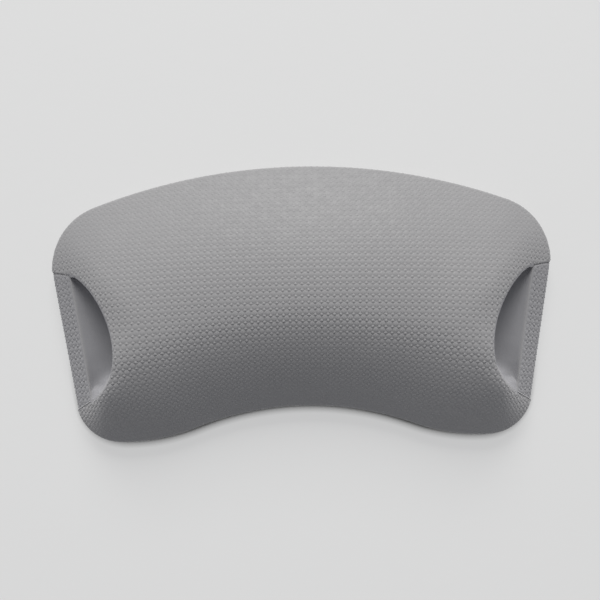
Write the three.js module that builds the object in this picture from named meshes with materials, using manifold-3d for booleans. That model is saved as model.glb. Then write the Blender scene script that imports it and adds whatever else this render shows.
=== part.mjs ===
// Moulded bath pillow: an arched foam headrest with a crowned face and a finger scoop in each end.
// It lies on its flat back. X runs along the pillow, Y towards its arched top edge, Z out of its face.
// The origin is the middle of the back. Lengths are in millimetres.
import * as THREE from "three";
import { mergeVertices } from "three/addons/utils/BufferGeometryUtils.js";
import Module from "manifold-3d";

const wasm = await Module();
wasm.setup();

// Outline, seen from the front: one long top arc, two lobes and a hollow bottom edge for the neck.
const pillowWidth = 290;
const pillowDepth = 158;
const hollowRise = 19;
const topRadius = 348;
const topCornerRadius = 38;
const bottomCornerRadius = 26;
const lobeRadius = 110;
const lobeInset = 41.8;
const endLean = THREE.MathUtils.degToRad(9.5);

// Crown: a low wall round the edge, then a rise to a bowed crest line.
const rimHeight = 9;
const crestHeight = 37;
const crestRadius = 215;
const crestSpread = THREE.MathUtils.degToRad(30);
const sideSlopeShare = 1.65;
const endSlopeShare = 0.5;
const endBlend = THREE.MathUtils.degToRad(55);

// Finger scoops: a smooth pocket behind a strip of the end, undercut below its lip.
const stripWidth = 12.5;
const scoopLength = 71.4;
const scoopDepth = 23.1;
const scoopDip = 9;
const stripStep = 0.6;
const scoopUndercut = 16;
const scoopFloorShare = 0.54;
const lipStartShares = new THREE.Vector2(0.122, 0.856);
const lipEndShares = new THREE.Vector2(0.807, 1.722);
const lipTipShare = 0.03;

// Skins of the moulding.
const skinThickness = 1.8;
const backThickness = 2;
const skinLift = 0.5;
const seamGap = 0.3;

// Rigid insert: an arched plate with a rib frame, socket bosses and holes that key it to the foam.
const plateWidth = 52;
const plateThickness = 3;
const plateSpread = THREE.MathUtils.degToRad(15);
const ribHeight = 6;
const ribThickness = 2.4;
const bossWall = 3;
const keyRadius = 4;
const keyAngles = [0, 7, 18].map(THREE.MathUtils.degToRad);
const keyOffset = 13;

// Snap sockets: blind cups that take the two fixing pins of the tub.
const socketSpacing = 104;
const socketBoreRadius = 4.5;
const socketWall = 1.8;
const socketDepth = 13;
const socketCap = 1.6;
const socketLift = 0.5;
const socketChamfer = 1;
const flangeReach = 3;
const flangeThickness = 1.6;
const grooveDepth = 0.7;
const grooveHeight = 1.6;
const grooveInset = 3.5;

// Facets, and how far a cut runs past what it cuts.
const topSteps = 5;
const cornerSteps = 5;
const endSteps = 3;
const lobeSteps = 3;
const hollowSteps = 4;
const ringShares = [0, 0.12, 0.28, 0.48, 0.7, 0.93];
const scoopStations = 9;
const scoopSteps = 6;
const plateSteps = 4;
const keySteps = 6;
const socketSteps = 24;
const overrun = 4;
const mergeTolerance = 1e-4;

const HALF = 0.5;
const QUARTER_TURN = Math.PI / 2;
const halfWidth = pillowWidth * HALF;
const halfDepth = pillowDepth * HALF;

// Centres and end points of the arcs that bound the right half of the outline, drawn in by an inset.
// Neighbouring arcs are tangent, and the end between the two corners is straight.
function outlineArcs(inset) {
  const topCentre = new THREE.Vector2(0, halfDepth - topRadius);
  const cornerX = halfWidth - topCornerRadius;
  const cornerY = topCentre.y + Math.sqrt((topRadius - topCornerRadius) ** 2 - cornerX ** 2);
  const topCorner = new THREE.Vector2(cornerX, cornerY);
  const endNormal = new THREE.Vector2(Math.cos(endLean), -Math.sin(endLean));
  const endReach = topCorner.dot(endNormal) + topCornerRadius;

  const lobe = new THREE.Vector2(halfWidth - lobeInset, lobeRadius - halfDepth);
  const lobeHeight = lobe.y + halfDepth - hollowRise;
  const hollowRadius =
    (lobe.x ** 2 + lobeHeight ** 2 - lobeRadius ** 2) / (lobeRadius - lobeHeight) / 2;
  const hollow = new THREE.Vector2(0, hollowRise - halfDepth - hollowRadius);

  const lobeGap = lobeRadius - bottomCornerRadius;
  const cornerShare = (endReach - bottomCornerRadius - lobe.dot(endNormal)) / lobeGap;
  const lobeEnd = -Math.acos(cornerShare) - endLean;
  const bottomCorner = new THREE.Vector2(Math.cos(lobeEnd), Math.sin(lobeEnd))
    .multiplyScalar(lobeGap)
    .add(lobe);

  const topTurn = topCorner.clone().sub(topCentre).angle();
  const lobeTurn = hollow.clone().sub(lobe).angle();
  const hollowTurn = lobe.clone().sub(hollow).angle();
  return {
    endNormal,
    top: { centre: topCentre, radius: topRadius - inset, from: QUARTER_TURN, to: topTurn },
    topCorner: { centre: topCorner, radius: topCornerRadius - inset, from: topTurn, to: -endLean },
    bottomCorner: {
      centre: bottomCorner,
      radius: bottomCornerRadius - inset,
      from: -endLean,
      to: lobeEnd,
    },
    lobe: { centre: lobe, radius: lobeRadius - inset, from: lobeEnd, to: lobeTurn - 2 * Math.PI },
    hollow: { centre: hollow, radius: hollowRadius + inset, from: hollowTurn, to: QUARTER_TURN },
  };
}

function pointOnArc(arc, angle) {
  const spoke = new THREE.Vector2(Math.cos(angle), Math.sin(angle));
  return spoke.multiplyScalar(arc.radius).add(arc.centre);
}

// Points of an arc, each with the outward direction of the outline there, without the last one.
function arcPoints(arc, steps, outward = 1) {
  return Array.from({ length: steps }, (_, i) => {
    const angle = THREE.MathUtils.lerp(arc.from, arc.to, i / steps);
    const facing = new THREE.Vector2(Math.cos(angle), Math.sin(angle)).multiplyScalar(outward);
    return { point: pointOnArc(arc, angle), facing };
  });
}

// The closed outline as points with outward directions, clockwise from the middle of the top edge.
function outlinePoints(inset) {
  const arcs = outlineArcs(inset);
  const endTop = pointOnArc(arcs.topCorner, arcs.topCorner.to);
  const endBottom = pointOnArc(arcs.bottomCorner, arcs.bottomCorner.from);
  const end = Array.from({ length: endSteps }, (_, i) => ({
    point: endTop.clone().lerp(endBottom, i / endSteps),
    facing: arcs.endNormal,
  }));
  const right = [
    ...arcPoints(arcs.top, topSteps),
    ...arcPoints(arcs.topCorner, cornerSteps),
    ...end,
    ...arcPoints(arcs.bottomCorner, cornerSteps),
    ...arcPoints(arcs.lobe, lobeSteps),
    ...arcPoints(arcs.hollow, hollowSteps, -1),
  ];
  const middle = { point: pointOnArc(arcs.hollow, QUARTER_TURN), facing: new THREE.Vector2(0, -1) };
  const left = right.slice(1).map(({ point, facing }) => ({
    point: new THREE.Vector2(-point.x, point.y),
    facing: new THREE.Vector2(-facing.x, facing.y),
  }));
  return [...right, middle, ...left.reverse()];
}

// The point of the crest line that an outline point rises to. Past its ends the rises fan out.
function crestPoint(point) {
  const angle = Math.atan2(point.x, point.y + crestRadius);
  const turn = crestSpread * Math.tanh(angle / crestSpread);
  return new THREE.Vector2(Math.sin(turn), Math.cos(turn) - 1).multiplyScalar(crestRadius);
}

// Height share at a share of the way from the rim to the crest, level where it meets the crest.
function riseShare(way, slopeShare) {
  const square = (3 - 2 * slopeShare) * way ** 2;
  const cube = (slopeShare - 2) * way ** 3;
  return slopeShare * way + square + cube;
}

// How steeply the crown leaves the rim: briskly along the long sides, gently at the ends.
function rimSlopeShare(facing) {
  const endNormal = new THREE.Vector2(Math.cos(endLean), -Math.sin(endLean));
  const outward = new THREE.Vector2(Math.abs(facing.x), facing.y);
  const turn = Math.acos(THREE.MathUtils.clamp(outward.dot(endNormal), -1, 1));
  const endShare = 1 - THREE.MathUtils.smoothstep(turn, 0, endBlend);
  return THREE.MathUtils.lerp(sideSlopeShare, endSlopeShare, endShare);
}

// A closed surface from rings of equal length, with triangles given for a cap over its end rings.
function loftGeometry(rings, capTriangles) {
  const count = rings[0].length;
  const last = (rings.length - 1) * count;
  const index = [];
  for (let ring = 0; ring < last; ring += count) {
    for (let i = 0; i < count; i += 1) {
      const next = (i + 1) % count;
      index.push(ring + i, ring + count + i, ring + next);
      index.push(ring + next, ring + count + i, ring + count + next);
    }
  }
  for (const [a, b, c] of capTriangles(rings[0])) index.push(a, b, c);
  for (const [a, b, c] of capTriangles(rings.at(-1))) index.push(last + a, last + c, last + b);
  const geometry = new THREE.BufferGeometry().setFromPoints(rings.flat());
  return geometry.setIndex(index);
}

// Rungs across a ring that starts at the middle of its upper side, the two halves alike.
// They use every point, also where some lie in one line.
function rungTriangles(ring) {
  const bottom = ring.length / 2;
  const triangles = [];
  for (let i = 0; i + 1 <= bottom - i - 1; i += 1) {
    triangles.push([i, i + 1, bottom - i]);
    if (i + 1 < bottom - i - 1) triangles.push([i + 1, bottom - i - 1, bottom - i]);
  }
  const opposite = triangles.map((corners) =>
    corners.map((corner) => (ring.length - corner) % ring.length).reverse(),
  );
  return [...triangles, ...opposite];
}

// Triangles over a flat outline, all turning the way that the outline turns.
function outlineTriangles(outline) {
  const triangles = THREE.ShapeUtils.triangulateShape(outline, []);
  const turns = THREE.ShapeUtils.area(outline) < 0;
  return triangles.map((corners) => {
    const flips = THREE.ShapeUtils.area(corners.map((i) => outline[i])) < 0 !== turns;
    return flips ? corners.slice().reverse() : corners;
  });
}

// The crowned cushion without its scoops, drawn in all over by an inset and closed flat at a base.
function crownGeometry(inset, base) {
  const outline = outlinePoints(inset);
  const rim = rimHeight - inset;
  const rise = crestHeight - rimHeight;
  const foot = outline.map(({ point }) => new THREE.Vector3(point.x, point.y, base));
  const rings = ringShares.map((way) =>
    outline.map(({ point, facing }) => {
      const place = point.clone().lerp(crestPoint(point), way);
      return new THREE.Vector3(place.x, place.y, rim + rise * riseShare(way, rimSlopeShare(facing)));
    }),
  );
  return loftGeometry([foot, ...rings], rungTriangles);
}

const crownFace = new THREE.Mesh(crownGeometry(0, 0));
const plumbLine = new THREE.Raycaster();

// Height of the crown above the back at a place of the outline plane.
function crownHeight(place) {
  const start = new THREE.Vector3(place.x, place.y, crestHeight + overrun);
  plumbLine.set(start, new THREE.Vector3(0, 0, -1));
  return plumbLine.intersectObject(crownFace)[0].point.z;
}

// One section across the right scoop: from the strip down the floor, up the undercut wall to the lip.
// It is worked out in the plane across the end, and grown outwards by the given amount.
function scoopSection(strip, chord, inward, grow) {
  const fullness = chord / scoopDepth;
  const lip = strip.clone().addScaledVector(inward, chord);
  const stripHeight = crownHeight(strip) - stripStep;
  const lipHeight = crownHeight(lip);
  const profile = new THREE.CubicBezierCurve(
    new THREE.Vector2(0, stripHeight),
    new THREE.Vector2(scoopFloorShare * chord, stripHeight - scoopDip * fullness),
    new THREE.Vector2(chord + scoopUndercut * fullness, stripHeight),
    new THREE.Vector2(chord, lipHeight),
  );
  const wall = Array.from({ length: scoopSteps + 1 }, (_, i) => {
    const tangent = profile.getTangent(i / scoopSteps);
    const outwards = new THREE.Vector2(tangent.y, -tangent.x);
    return profile.getPoint(i / scoopSteps).addScaledVector(outwards, grow);
  });
  const top = crestHeight + overrun;
  const section = [...wall, new THREE.Vector2(wall.at(-1).x, top), new THREE.Vector2(wall[0].x, top)];
  return section.map(({ x, y }) => {
    const place = strip.clone().addScaledVector(inward, x);
    return new THREE.Vector3(place.x, place.y, y);
  });
}

// The space of the right scoop, grown outwards. It runs along the straight end, behind the strip.
function scoopGeometry(grow) {
  const arcs = outlineArcs(0);
  const endTop = pointOnArc(arcs.topCorner, arcs.topCorner.to);
  const endBottom = pointOnArc(arcs.bottomCorner, arcs.bottomCorner.from);
  const inward = arcs.endNormal.clone().negate();
  const down = endBottom.clone().sub(endTop).normalize();
  const middle = endTop.clone().lerp(endBottom, HALF).addScaledVector(inward, stripWidth);
  const lip = new THREE.CubicBezierCurve(
    new THREE.Vector2(0, 0),
    lipStartShares,
    lipEndShares,
    new THREE.Vector2(1, 0),
  );
  const sections = Array.from({ length: scoopStations + 1 }, (_, i) => {
    const way = THREE.MathUtils.lerp(lipTipShare, 1 - lipTipShare, i / scoopStations);
    const share = lip.getPoint(way);
    const along = (share.x - HALF) * scoopLength;
    const strip = middle.clone().addScaledVector(down, along);
    const section = scoopSection(strip, share.y * scoopDepth, inward, grow);
    const stretch = (2 * share.x - 1) * grow;
    return section.map((p) => p.add(new THREE.Vector3(down.x * stretch, down.y * stretch, 0)));
  });
  const across = (p) => new THREE.Vector2(p.x * inward.x + p.y * inward.y, p.z);
  return loftGeometry(sections, (section) => outlineTriangles(section.map(across)));
}

function mirrored(geometry) {
  const copy = geometry.clone().scale(-1, 1, 1);
  const index = copy.index.array;
  for (let i = 0; i < index.length; i += 3) {
    [index[i + 1], index[i + 2]] = [index[i + 2], index[i + 1]];
  }
  return copy;
}

function solidOf(geometry) {
  const bare = geometry.clone();
  bare.deleteAttribute("normal");
  bare.deleteAttribute("uv");
  const merged = mergeVertices(bare, mergeTolerance);
  const vertProperties = merged.getAttribute("position").array;
  const triVerts = new Uint32Array(merged.index.array);
  return new wasm.Manifold(new wasm.Mesh({ numProp: 3, vertProperties, triVerts }));
}

function geometryOf(solid) {
  const { vertProperties, triVerts } = solid.getMesh();
  const geometry = new THREE.BufferGeometry();
  geometry.setAttribute("position", new THREE.BufferAttribute(vertProperties, 3));
  return geometry.setIndex(new THREE.BufferAttribute(triVerts, 1));
}

// The cushion with both scoops cut out, drawn in all over by an inset and cut off at a base.
function cushionSolid(inset, base) {
  const scoop = scoopGeometry(inset);
  return solidOf(crownGeometry(inset, base))
    .subtract(solidOf(scoop))
    .subtract(solidOf(mirrored(scoop)));
}

function extruded(shape, height, bottom, steps) {
  const geometry = new THREE.ExtrudeGeometry(shape, {
    depth: height,
    bevelEnabled: false,
    curveSegments: steps,
  });
  return solidOf(geometry.translate(0, 0, bottom));
}

function revolved(profile, x, y) {
  const geometry = new THREE.LatheGeometry(profile, socketSteps);
  return solidOf(geometry.rotateX(QUARTER_TURN).translate(x, y, 0));
}

const socketRadius = socketBoreRadius + socketWall;
const bossRadius = socketRadius + seamGap + bossWall;
const plateBottom = backThickness + seamGap;
const plateTop = plateBottom + plateThickness;
const ribTop = plateTop + ribHeight;
const socketX = socketSpacing * HALF;
const socketY = Math.sqrt(crestRadius ** 2 - socketX ** 2) - crestRadius;

// An arched band along the crest line with rounded ends, grown outwards.
function bandShape(halfBand, grow) {
  const reach = halfBand + grow;
  const shape = new THREE.Shape();
  const left = QUARTER_TURN + plateSpread;
  const right = QUARTER_TURN - plateSpread;
  const capCentre = (angle) =>
    new THREE.Vector2(Math.cos(angle), Math.sin(angle) - 1).multiplyScalar(crestRadius);
  shape.absarc(0, -crestRadius, crestRadius - reach, left, right, true);
  const rightCap = capCentre(right);
  shape.absarc(rightCap.x, rightCap.y, reach, right - Math.PI, right, false);
  shape.absarc(0, -crestRadius, crestRadius + reach, right, left, false);
  const leftCap = capCentre(left);
  shape.absarc(leftCap.x, leftCap.y, reach, left, left + Math.PI, false);
  return shape;
}

function roundHole(x, y, radius) {
  return new THREE.Path().absarc(x, y, radius, 0, 2 * Math.PI, true);
}

// Places of the holes that the foam fills, in pairs either side of the crest line.
function keyPlaces() {
  return keyAngles.flatMap((angle) =>
    (angle === 0 ? [0] : [-angle, angle]).flatMap((turn) =>
      [-keyOffset, keyOffset].map((offset) => {
        const reach = crestRadius + offset;
        return new THREE.Vector2(reach * Math.sin(turn), reach * Math.cos(turn) - crestRadius);
      }),
    ),
  );
}

// The insert plate, or with a slack the space that it takes in the foam.
function plateSolid(slack) {
  const halfBand = plateWidth * HALF;
  const bottom = plateBottom - (slack ? overrun : 0);
  const base = bandShape(halfBand, slack);
  base.holes = keyPlaces().map(({ x, y }) => roundHole(x, y, keyRadius - slack));
  const frame = bandShape(halfBand, slack);
  frame.holes = [bandShape(halfBand - ribThickness, -slack)];
  let plate = extruded(base, plateTop + slack - bottom, bottom, plateSteps);
  plate = plate.add(extruded(frame, ribTop + slack - bottom, bottom, plateSteps));
  for (const x of [-socketX, socketX]) {
    const boss = new THREE.Shape().absarc(x, socketY, bossRadius + slack, 0, 2 * Math.PI);
    plate = plate.add(extruded(boss, ribTop + slack - bottom, bottom, keySteps));
  }
  return plate;
}

function insertPlate() {
  let plate = plateSolid(0);
  for (const x of [-socketX, socketX]) {
    const bore = new THREE.Shape().absarc(x, socketY, socketRadius + seamGap, 0, 2 * Math.PI);
    plate = plate.subtract(extruded(bore, crestHeight, -overrun, keySteps));
  }
  return plate;
}

const flangeBottom = ribTop + seamGap;
const flangeTop = flangeBottom + flangeThickness;
const flangeRadius = socketRadius + flangeReach;
const socketTop = socketLift + socketDepth + socketCap;

// A blind cup with a collar that bears on its boss and a groove that holds the pin's bead.
function pinSocket(x) {
  const boreTop = socketLift + socketDepth;
  const grooveTop = boreTop - grooveInset;
  const grooveBottom = grooveTop - grooveHeight;
  const grooveRadius = socketBoreRadius + grooveDepth;
  const profile = [
    [0, boreTop],
    [socketBoreRadius, boreTop],
    [socketBoreRadius, grooveTop],
    [grooveRadius, grooveTop],
    [grooveRadius, grooveBottom],
    [socketBoreRadius, grooveBottom],
    [socketBoreRadius, socketLift + socketChamfer],
    [socketBoreRadius + socketChamfer, socketLift],
    [socketRadius, socketLift],
    [socketRadius, flangeBottom],
    [flangeRadius, flangeBottom],
    [flangeRadius, flangeTop],
    [socketRadius, flangeTop],
    [socketRadius, socketTop],
    [0, socketTop],
  ];
  return revolved(profile.map(([r, z]) => new THREE.Vector2(r, z)), x, socketY);
}

// The space that a socket takes in the foam above the insert plate.
function socketSpace(x) {
  const collar = flangeRadius + seamGap;
  const cup = socketRadius + seamGap;
  const profile = [
    [0, plateTop],
    [collar, plateTop],
    [collar, flangeTop + seamGap],
    [cup, flangeTop + seamGap],
    [cup, socketTop + seamGap],
    [0, socketTop + seamGap],
  ];
  return revolved(profile.map(([r, z]) => new THREE.Vector2(r, z)), x, socketY);
}

function frontSkin() {
  return cushionSolid(0, skinLift).subtract(cushionSolid(skinThickness, skinLift - overrun));
}

function foamCore() {
  return cushionSolid(skinThickness + seamGap, plateBottom)
    .subtract(plateSolid(seamGap))
    .subtract(socketSpace(-socketX))
    .subtract(socketSpace(socketX));
}

function backSkin() {
  const outline = outlinePoints(skinThickness + seamGap).map(({ point }) => point);
  const shape = new THREE.Shape(outline.reverse());
  shape.holes = [-socketX, socketX].map((x) => roundHole(x, socketY, socketRadius + seamGap));
  return extruded(shape, backThickness, 0, keySteps);
}

const skinMaterial = { color: 0x97989a, roughness: 0.62, metalness: 0 };
const foamMaterial = { color: 0xb4b2ab, roughness: 0.95, metalness: 0 };
const plateMaterial = { color: 0x3a3c3f, roughness: 0.55, metalness: 0 };
const socketMaterial = { color: 0xd9dadb, roughness: 0.4, metalness: 0 };

const pillow = new THREE.Group();

function addPiece(name, solid, material) {
  const mesh = new THREE.Mesh(geometryOf(solid), new THREE.MeshStandardMaterial(material));
  mesh.name = name;
  pillow.add(mesh);
}

addPiece("front_skin", frontSkin(), skinMaterial);
addPiece("back_skin", backSkin(), skinMaterial);
addPiece("foam_core", foamCore(), foamMaterial);
addPiece("insert_plate", insertPlate(), plateMaterial);
addPiece("pin_socket_left", pinSocket(-socketX), socketMaterial);
addPiece("pin_socket_right", pinSocket(socketX), socketMaterial);

export default pillow;
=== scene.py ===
"""Moulded bath pillow, dressed over its CAD frame.

All shapes are worked out in millimetres in the CAD's frame, and put into meshes in metres.
"""

import math

import bpy
import numpy as np
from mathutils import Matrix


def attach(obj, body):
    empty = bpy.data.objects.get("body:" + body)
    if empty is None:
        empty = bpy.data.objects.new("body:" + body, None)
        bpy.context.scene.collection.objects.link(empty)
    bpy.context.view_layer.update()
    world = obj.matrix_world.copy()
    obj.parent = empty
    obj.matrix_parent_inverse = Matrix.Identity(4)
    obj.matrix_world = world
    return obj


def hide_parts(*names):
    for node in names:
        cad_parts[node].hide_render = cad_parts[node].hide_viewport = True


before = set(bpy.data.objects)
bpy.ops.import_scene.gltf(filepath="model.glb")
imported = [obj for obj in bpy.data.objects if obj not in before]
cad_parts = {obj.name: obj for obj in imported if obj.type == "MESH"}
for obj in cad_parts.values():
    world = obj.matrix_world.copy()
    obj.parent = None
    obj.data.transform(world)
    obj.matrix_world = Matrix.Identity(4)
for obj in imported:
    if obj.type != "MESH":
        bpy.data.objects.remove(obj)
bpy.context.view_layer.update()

MM = 0.001

# Outline of the cushion.
HALF_WIDTH = 145.0
HALF_DEPTH = 79.0
HOLLOW_RISE = 19.0
TOP_RADIUS = 348.0
TOP_CORNER_RADIUS = 38.0
BOTTOM_CORNER_RADIUS = 26.0
LOBE_RADIUS = 110.0
LOBE_INSET = 41.8
END_LEAN = math.radians(9.5)
END_NORMAL = np.array([math.cos(END_LEAN), -math.sin(END_LEAN)])
END_DOWN = np.array([-math.sin(END_LEAN), -math.cos(END_LEAN)])

# Crown, and the disc over which its height is evened out near each end of the crest.
RIM_HEIGHT = 9.0
CREST_HEIGHT = 37.0
CREST_RADIUS = 215.0
CREST_SPREAD = math.radians(30)
CREST_END = (98.0, -24.0)
SIDE_SLOPE = 1.65
END_SLOPE = 0.5
END_BLEND = math.radians(55)
EASE_RADIUS = 11
EASE_RANGE = (10, 36)
EASE_MIDDLE = 0.16
EASE_RINGS = ((0.5, 0.5), (1.0, 0.34))

# Finger scoops. A RUN is a stretch of the scoop's length, as shares of it, where something changes.
STRIP_WIDTH = 12.5
SCOOP_LENGTH = 72.2
SCOOP_SHIFT = 1.2
SCOOP_DEPTH = 23.1
SCOOP_DIP = 10.0
SCOOP_UNDERCUT = 16.0
FLOOR_SHARE = 0.54
FLOOR_DRAW = 0.44
LOW_WALL_LEAN = 6
TIP = 7
SOFT_LIP_RUN = (0.45, 0.8)
FLOOR_RUN = (0.6, 0.85)
OPEN_RUN = (0.75, 0.88)
WEDGE_RUN = (0.79, 0.94)
WEDGE_SINK = 16
UNDERCUT_RUN = (0.8, 0.89)
UNDERCUT_SINK = 40
PAST_LIP_FALL = 20
WEDGE_FALL = (0.45, 0.12)
WEDGE_BLEND = (0.04, 3.0)
STRIP_STEP = 0.15
LIP_START = (0.1, 0.81)
LIP_END = (0.812, 1.75)

# Skins.
SKIN = 1.8
SKIN_LIFT = 0.5
BACK = 2.0
SEAM_GAP = 0.3

# Emboss: a lattice of round pads with a small diamond between every four, COLUMNS by ROWS each way from
# the middle, with CELLS samples to a period.
COLUMNS = 49
ROWS = 33
PITCH_ACROSS = 3.36
PITCH_UP = 3.27
PATTERN_BEND = 1700.0
CELLS = 8
PAD_RISE = 0.28
DIAMOND_RISE = 0.58
DIAMOND_ACROSS = 0.42
DIAMOND_UP = 0.34
PAD_REACH = 0.62
GROOVE_DEPTH = 0.05
GROOVE_WIDTH = 0.07
FACE_SHARE = 1.15
UPPER_FADE = 0.65
LOWER_FADE = 0.5

# Strip beside a scoop, and the leaning parting lines above and below it. FAR stands for no line near.
STRIP_PITCH_ACROSS = 3.3
STRIP_PITCH_ALONG = 3.35
UPPER_PARTING = 0.33
LOWER_PARTING = 0.36
FLASH_RISE = 0.4
FLASH_WIDTH = 0.36
LINE_DEPTH = 0.14
LINE_WIDTH = 0.35
STRIP_BACK = 0.18
STRIP_WALL_BACK = 0.5
FAR = 9

# Rounding of the edges.
EDGE_ROLL = 1.5
BACK_ROLL = 0.7
HOLE_ROLL = 0.3

# Foam block: the size of its remesh, how far it is drawn in, and the sizes and rises of its cells.
FOAM_GRID = 1.3
FOAM_DRAW_IN = 0.35
FOAM_CELLS = ((1.9, 3, 0.1), (4.5, 5, 0.12))

# Sockets.
SOCKET_X = 52.0
SOCKET_Y = math.sqrt(CREST_RADIUS**2 - SOCKET_X**2) - CREST_RADIUS
SOCKET_HOLE = 6.6


def together(*values):
    """Arrays side by side in a new last axis."""
    return np.stack(values, axis=-1)


def size(way):
    """Lengths of plan ways."""
    return np.hypot(way[..., 0], way[..., 1])


def unit(angle):
    """Points of the unit circle at the given angles."""
    return together(np.cos(angle), np.sin(angle))


def smooth_step(value, low, high):
    """3s^2 - 2s^3 of the share s of the way from low to high, held at 0 and 1 outside."""
    share = np.clip((value - low) / (high - low), 0, 1)
    return share * share * (3 - 2 * share)


def outline_arcs():
    """The right half's arcs: centre, radius, start and end angle, and 1 for bulging or -1 for hollow."""
    top = np.array([0, HALF_DEPTH - TOP_RADIUS])
    corner_x = HALF_WIDTH - TOP_CORNER_RADIUS
    reach = TOP_RADIUS - TOP_CORNER_RADIUS
    corner = np.array([corner_x, top[1] + math.sqrt(reach**2 - corner_x**2)])
    end_reach = corner @ END_NORMAL + TOP_CORNER_RADIUS
    lobe = np.array([HALF_WIDTH - LOBE_INSET, LOBE_RADIUS - HALF_DEPTH])
    lobe_height = lobe[1] + HALF_DEPTH - HOLLOW_RISE
    hollow_radius = (lobe[0] ** 2 + lobe_height**2 - LOBE_RADIUS**2) / (LOBE_RADIUS - lobe_height) / 2
    hollow = np.array([0, HOLLOW_RISE - HALF_DEPTH - hollow_radius])
    gap = LOBE_RADIUS - BOTTOM_CORNER_RADIUS
    lobe_end = -math.acos((end_reach - BOTTOM_CORNER_RADIUS - lobe @ END_NORMAL) / gap) - END_LEAN
    bottom = lobe + gap * unit(lobe_end)
    ways = (corner - top, hollow - lobe, lobe - hollow)
    top_turn, lobe_turn, hollow_turn = (math.atan2(y, x) for x, y in ways)
    return [
        (top, TOP_RADIUS, math.pi / 2, top_turn, 1),
        (corner, TOP_CORNER_RADIUS, top_turn, -END_LEAN, 1),
        (bottom, BOTTOM_CORNER_RADIUS, -END_LEAN, lobe_end, 1),
        (lobe, LOBE_RADIUS, lobe_end, lobe_turn, 1),
        (hollow, hollow_radius, hollow_turn, math.pi / 2, -1),
    ]


def outline_table(step=0.1):
    """The right half of the outline in even steps, from the middle of the top to that of the bottom.

    Each arc is centre + radius * unit(angle), and the end between the two corners is straight. With the
    places go the outward directions, the signed radius of the arc, 0 on the straight, and its centre.
    """
    arcs = outline_arcs()
    parts = []
    for i, (centre, radius, start, stop, bulge) in enumerate(arcs):
        count = int(radius * abs(stop - start) / step) + 2
        spoke = unit(np.linspace(start, stop, count))
        bend = np.full((count, 1), radius * bulge)
        parts.append(np.hstack([centre + radius * spoke, bulge * spoke, bend, bend * 0 + centre]))
        if i == 1:
            first = parts[-1][-1, :2]
            last = arcs[2][0] + arcs[2][1] * unit(-END_LEAN)
            count = int(np.hypot(*(last - first)) / step)
            line = first + (last - first) * np.linspace(0, 1, count + 2)[1:-1, None]
            flat = np.zeros((count, 1))
            parts.append(np.hstack([line, flat + END_NORMAL, flat, flat, flat]))
    rows = np.vstack(parts)
    return rows[:, :2], rows[:, 2:4], rows[:, 4], rows[:, 5:7]


PLACES, FACINGS, BENDS, CENTRES = outline_table()


def rises(inset):
    """The straight rises from the outline, drawn in by an inset, to the crest line.

    A place at angle a about the crest circle's centre rises to the angle spread * tanh(a / spread) on that
    circle, so that the rises fan out past the crest line's ends. The slope share falls smoothly from the
    long sides to the ends with the angle between the outline's facing and that of the straight end.
    """
    start = PLACES - inset * FACINGS
    angle = np.arctan2(start[:, 0], start[:, 1] + CREST_RADIUS)
    turn = CREST_SPREAD * np.tanh(angle / CREST_SPREAD)
    stop = CREST_RADIUS * together(np.sin(turn), np.cos(turn) - 1)
    off = np.arccos(np.clip(FACINGS @ END_NORMAL, -1, 1))
    slope = END_SLOPE + (SIDE_SLOPE - END_SLOPE) * smooth_step(off, 0, END_BLEND)
    reach = np.hypot(start[:, 0], start[:, 1] + CREST_RADIUS) * np.cos(angle - turn)
    split = int(np.argmax((reach < CREST_RADIUS) & (start[:, 0] > HALF_WIDTH / 2)))
    return start, stop, slope, turn, split


RISES = {inset: rises(inset) for inset in (0.0, SKIN)}


def plain_height(x, y, inset):
    """Height of the crown over a place of the plan, before its crest ends are eased.

    The place lies on one straight rise from the outline to the crest line, found by halving: the cross
    product of the rise with the place's offset from its start changes sign there. With w the share of
    the rise below the place and m the slope share, the height is rim + rise * (m w + (3 - 2m) w^2 +
    (m - 2) w^3), and it runs on straight outside the outline.
    """
    start, stop, slope, turn, split = RISES[inset]
    shape = np.shape(x)
    place = together(np.abs(x).ravel(), np.ravel(y))
    angle = np.minimum(np.arctan2(place[:, 0], place[:, 1] + CREST_RADIUS), turn[split])
    radial = together(np.sin(angle), np.cos(angle))
    upper = ((place + [0, CREST_RADIUS]) * radial).sum(axis=1) > CREST_RADIUS
    low = np.where(upper, 0, split)
    high = np.where(upper, split, len(start) - 1)

    def cross(i):
        rise = stop[i] - start[i]
        offset = place - start[i]
        return rise[:, 0] * offset[:, 1] - rise[:, 1] * offset[:, 0]

    for _ in range(13):
        middle = (low + high) // 2
        before = cross(middle) >= 0
        low = np.where(before, middle, low)
        high = np.where(before, high, middle)
    high = np.minimum(low + 1, len(start) - 1)
    near = cross(low)
    far = cross(high)
    gap = np.where(np.abs(near - far) < 1e-12, 1, near - far)
    share = np.clip(near / gap, 0, 1)[:, None]
    foot = start[low] * (1 - share) + start[high] * share
    crest = stop[low] * (1 - share) + stop[high] * share
    m = slope[low] * (1 - share[:, 0]) + slope[high] * share[:, 0]
    rise = crest - foot
    way = ((place - foot) * rise).sum(axis=1) / (rise**2).sum(axis=1)
    way = np.minimum(way, 1)
    inner = np.maximum(way, 0)
    curve = m * way + (3 - 2 * m) * inner**2 + (m - 2) * inner**3
    return (RIM_HEIGHT - inset + (CREST_HEIGHT - RIM_HEIGHT) * curve).reshape(shape)


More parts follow.
